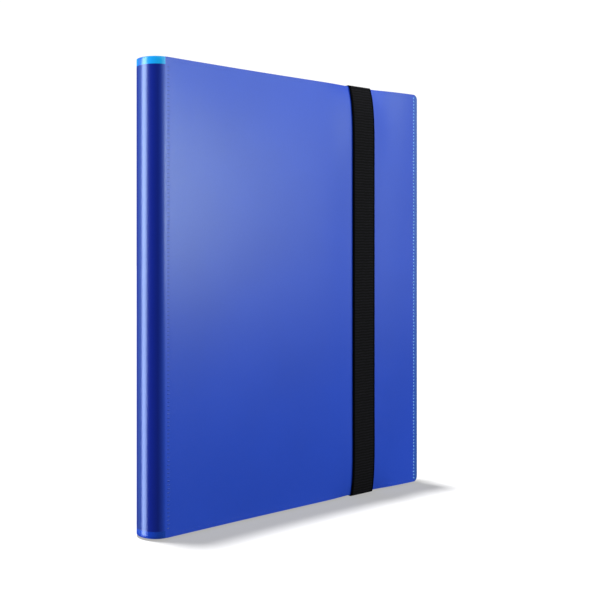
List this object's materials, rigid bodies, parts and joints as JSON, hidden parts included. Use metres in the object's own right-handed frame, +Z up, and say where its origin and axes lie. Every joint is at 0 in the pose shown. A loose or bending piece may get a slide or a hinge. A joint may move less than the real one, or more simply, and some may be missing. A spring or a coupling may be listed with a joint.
{
  "type": "trading card binder",
  "caption": "Side-loading card binder with rounded spine, hinged plastic covers, pocket leaves and an elastic closing strap, standing upright and closed.",
  "frame": {"origin": "middle of the footprint of the closed binder, at the lowest face of the strap, which passes under the covers", "axes": "+X from the spine to the fore-edge, -Y out of the front cover, +Z up along the spine"},
  "size_m": [0.251, 0.0284, 0.3148],
  "materials": {
    "cover_plastic": "fine-grained translucent polypropylene, semi-gloss",
    "liner_plastic": "smooth translucent polypropylene",
    "binding": "welded black polypropylene",
    "elastic": "woven ribbed elastic",
    "leaf_core": "embossed black sheet",
    "pocket_film": "clear glossy film with weld lines"
  },
  "bodies": {
    "spine": {"spine_cover": "cover_plastic", "spine_binding": "binding"},
    "front_cover": {"front_cover_sheet": "cover_plastic", "front_cover_liner": "liner_plastic"},
    "back_cover": {"back_cover_sheet": "cover_plastic", "back_cover_liner": "liner_plastic", "strap_end_top": "elastic", "strap_end_bottom": "elastic"},
    "strap": {"strap_band": "elastic", "strap_top_wrap": "elastic", "strap_bottom_wrap": "elastic"},
    "leaf_01": {"leaf_01_core": "leaf_core", "leaf_01_pockets": "pocket_film"},
    "leaf_02": {"leaf_02_core": "leaf_core", "leaf_02_pockets": "pocket_film"},
    "leaf_03": {"leaf_03_core": "leaf_core", "leaf_03_pockets": "pocket_film"},
    "leaf_04": {"leaf_04_core": "leaf_core", "leaf_04_pockets": "pocket_film"},
    "leaf_05": {"leaf_05_core": "leaf_core", "leaf_05_pockets": "pocket_film"},
    "leaf_06": {"leaf_06_core": "leaf_core", "leaf_06_pockets": "pocket_film"},
    "leaf_07": {"leaf_07_core": "leaf_core", "leaf_07_pockets": "pocket_film"},
    "leaf_08": {"leaf_08_core": "leaf_core", "leaf_08_pockets": "pocket_film"},
    "leaf_09": {"leaf_09_core": "leaf_core", "leaf_09_pockets": "pocket_film"},
    "leaf_10": {"leaf_10_core": "leaf_core", "leaf_10_pockets": "pocket_film"},
    "leaf_11": {"leaf_11_core": "leaf_core", "leaf_11_pockets": "pocket_film"},
    "leaf_12": {"leaf_12_core": "leaf_core", "leaf_12_pockets": "pocket_film"},
    "leaf_13": {"leaf_13_core": "leaf_core", "leaf_13_pockets": "pocket_film"},
    "leaf_14": {"leaf_14_core": "leaf_core", "leaf_14_pockets": "pocket_film"},
    "leaf_15": {"leaf_15_core": "leaf_core", "leaf_15_pockets": "pocket_film"},
    "leaf_16": {"leaf_16_core": "leaf_core", "leaf_16_pockets": "pocket_film"},
    "leaf_17": {"leaf_17_core": "leaf_core", "leaf_17_pockets": "pocket_film"},
    "leaf_18": {"leaf_18_core": "leaf_core", "leaf_18_pockets": "pocket_film"},
    "leaf_19": {"leaf_19_core": "leaf_core", "leaf_19_pockets": "pocket_film"},
    "leaf_20": {"leaf_20_core": "leaf_core", "leaf_20_pockets": "pocket_film"}
  },
  "joints": [
    {"name": "front_cover_hinge", "type": "hinge", "parent": "spine", "child": "front_cover", "pos_m": [-0.1145, -0.0128, 0], "axis": [0, 0, -1], "range_deg": [0, 90]},
    {"name": "back_cover_hinge", "type": "hinge", "parent": "spine", "child": "back_cover", "pos_m": [-0.1145, 0.0142, 0], "axis": [0, 0, 1], "range_deg": [0, 90]},
    {"name": "strap_swing", "type": "hinge", "parent": "back_cover", "child": "strap", "pos_m": [0.065, 0.0007, 0], "axis": [0, 0, 1], "range_deg": [0, 180], "deforming": ["strap_band", "strap_top_wrap", "strap_bottom_wrap"]},
    {"name": "leaf_01_hinge", "type": "hinge", "parent": "spine", "child": "leaf_01", "pos_m": [-0.1125, -0.0107, 0], "axis": [0, 0, -1], "range_deg": [0, 90]},
    {"name": "leaf_02_hinge", "type": "hinge", "parent": "spine", "child": "leaf_02", "pos_m": [-0.1113, -0.0095, 0], "axis": [0, 0, -1], "range_deg": [0, 90]},
    {"name": "leaf_03_hinge", "type": "hinge", "parent": "spine", "child": "leaf_03", "pos_m": [-0.1101, -0.0083, 0], "axis": [0, 0, -1], "range_deg": [0, 90]},
    {"name": "leaf_04_hinge", "type": "hinge", "parent": "spine", "child": "leaf_04", "pos_m": [-0.1089, -0.0071, 0], "axis": [0, 0, -1], "range_deg": [0, 90]},
    {"name": "leaf_05_hinge", "type": "hinge", "parent": "spine", "child": "leaf_05", "pos_m": [-0.1077, -0.0059, 0], "axis": [0, 0, -1], "range_deg": [0, 90]},
    {"name": "leaf_06_hinge", "type": "hinge", "parent": "spine", "child": "leaf_06", "pos_m": [-0.1065, -0.0047, 0], "axis": [0, 0, -1], "range_deg": [0, 90]},
    {"name": "leaf_07_hinge", "type": "hinge", "parent": "spine", "child": "leaf_07", "pos_m": [-0.1053, -0.0035, 0], "axis": [0, 0, -1], "range_deg": [0, 90]},
    {"name": "leaf_08_hinge", "type": "hinge", "parent": "spine", "child": "leaf_08", "pos_m": [-0.1041, -0.0023, 0], "axis": [0, 0, -1], "range_deg": [0, 90]},
    {"name": "leaf_09_hinge", "type": "hinge", "parent": "spine", "child": "leaf_09", "pos_m": [-0.1029, -0.0011, 0], "axis": [0, 0, -1], "range_deg": [0, 90]},
    {"name": "leaf_10_hinge", "type": "hinge", "parent": "spine", "child": "leaf_10", "pos_m": [-0.1017, 0.0001, 0], "axis": [0, 0, -1], "range_deg": [0, 90]},
    {"name": "leaf_11_hinge", "type": "hinge", "parent": "spine", "child": "leaf_11", "pos_m": [-0.1017, 0.0013, 0], "axis": [0, 0, 1], "range_deg": [0, 90]},
    {"name": "leaf_12_hinge", "type": "hinge", "parent": "spine", "child": "leaf_12", "pos_m": [-0.1029, 0.0025, 0], "axis": [0, 0, 1], "range_deg": [0, 90]},
    {"name": "leaf_13_hinge", "type": "hinge", "parent": "spine", "child": "leaf_13", "pos_m": [-0.1041, 0.0037, 0], "axis": [0, 0, 1], "range_deg": [0, 90]},
    {"name": "leaf_14_hinge", "type": "hinge", "parent": "spine", "child": "leaf_14", "pos_m": [-0.1053, 0.0049, 0], "axis": [0, 0, 1], "range_deg": [0, 90]},
    {"name": "leaf_15_hinge", "type": "hinge", "parent": "spine", "child": "leaf_15", "pos_m": [-0.1065, 0.0061, 0], "axis": [0, 0, 1], "range_deg": [0, 90]},
    {"name": "leaf_16_hinge", "type": "hinge", "parent": "spine", "child": "leaf_16", "pos_m": [-0.1077, 0.0073, 0], "axis": [0, 0, 1], "range_deg": [0, 90]},
    {"name": "leaf_17_hinge", "type": "hinge", "parent": "spine", "child": "leaf_17", "pos_m": [-0.1089, 0.0085, 0], "axis": [0, 0, 1], "range_deg": [0, 90]},
    {"name": "leaf_18_hinge", "type": "hinge", "parent": "spine", "child": "leaf_18", "pos_m": [-0.1101, 0.0097, 0], "axis": [0, 0, 1], "range_deg": [0, 90]},
    {"name": "leaf_19_hinge", "type": "hinge", "parent": "spine", "child": "leaf_19", "pos_m": [-0.1113, 0.0109, 0], "axis": [0, 0, 1], "range_deg": [0, 90]},
    {"name": "leaf_20_hinge", "type": "hinge", "parent": "spine", "child": "leaf_20", "pos_m": [-0.1125, 0.0121, 0], "axis": [0, 0, 1], "range_deg": [0, 90]}
  ],
  "couplings": [
    {"joint": "back_cover_hinge", "follows": "front_cover_hinge", "ratio": 1},
    {"joint": "strap_swing", "follows": "front_cover_hinge", "ratio": 2},
    {"joint": "leaf_01_hinge", "follows": "front_cover_hinge", "ratio": 1},
    {"joint": "leaf_02_hinge", "follows": "front_cover_hinge", "ratio": 0.996},
    {"joint": "leaf_03_hinge", "follows": "front_cover_hinge", "ratio": 0.992},
    {"joint": "leaf_04_hinge", "follows": "front_cover_hinge", "ratio": 0.988},
    {"joint": "leaf_05_hinge", "follows": "front_cover_hinge", "ratio": 0.984},
    {"joint": "leaf_06_hinge", "follows": "front_cover_hinge", "ratio": 0.98},
    {"joint": "leaf_07_hinge", "follows": "front_cover_hinge", "ratio": 0.976},
    {"joint": "leaf_08_hinge", "follows": "front_cover_hinge", "ratio": 0.972},
    {"joint": "leaf_09_hinge", "follows": "front_cover_hinge", "ratio": 0.968},
    {"joint": "leaf_10_hinge", "follows": "front_cover_hinge", "ratio": 0.964},
    {"joint": "leaf_11_hinge", "follows": "front_cover_hinge", "ratio": 0.964},
    {"joint": "leaf_12_hinge", "follows": "front_cover_hinge", "ratio": 0.968},
    {"joint": "leaf_13_hinge", "follows": "front_cover_hinge", "ratio": 0.972},
    {"joint": "leaf_14_hinge", "follows": "front_cover_hinge", "ratio": 0.976},
    {"joint": "leaf_15_hinge", "follows": "front_cover_hinge", "ratio": 0.98},
    {"joint": "leaf_16_hinge", "follows": "front_cover_hinge", "ratio": 0.984},
    {"joint": "leaf_17_hinge", "follows": "front_cover_hinge", "ratio": 0.988},
    {"joint": "leaf_18_hinge", "follows": "front_cover_hinge", "ratio": 0.992},
    {"joint": "leaf_19_hinge", "follows": "front_cover_hinge", "ratio": 0.996},
    {"joint": "leaf_20_hinge", "follows": "front_cover_hinge", "ratio": 1}
  ]
}
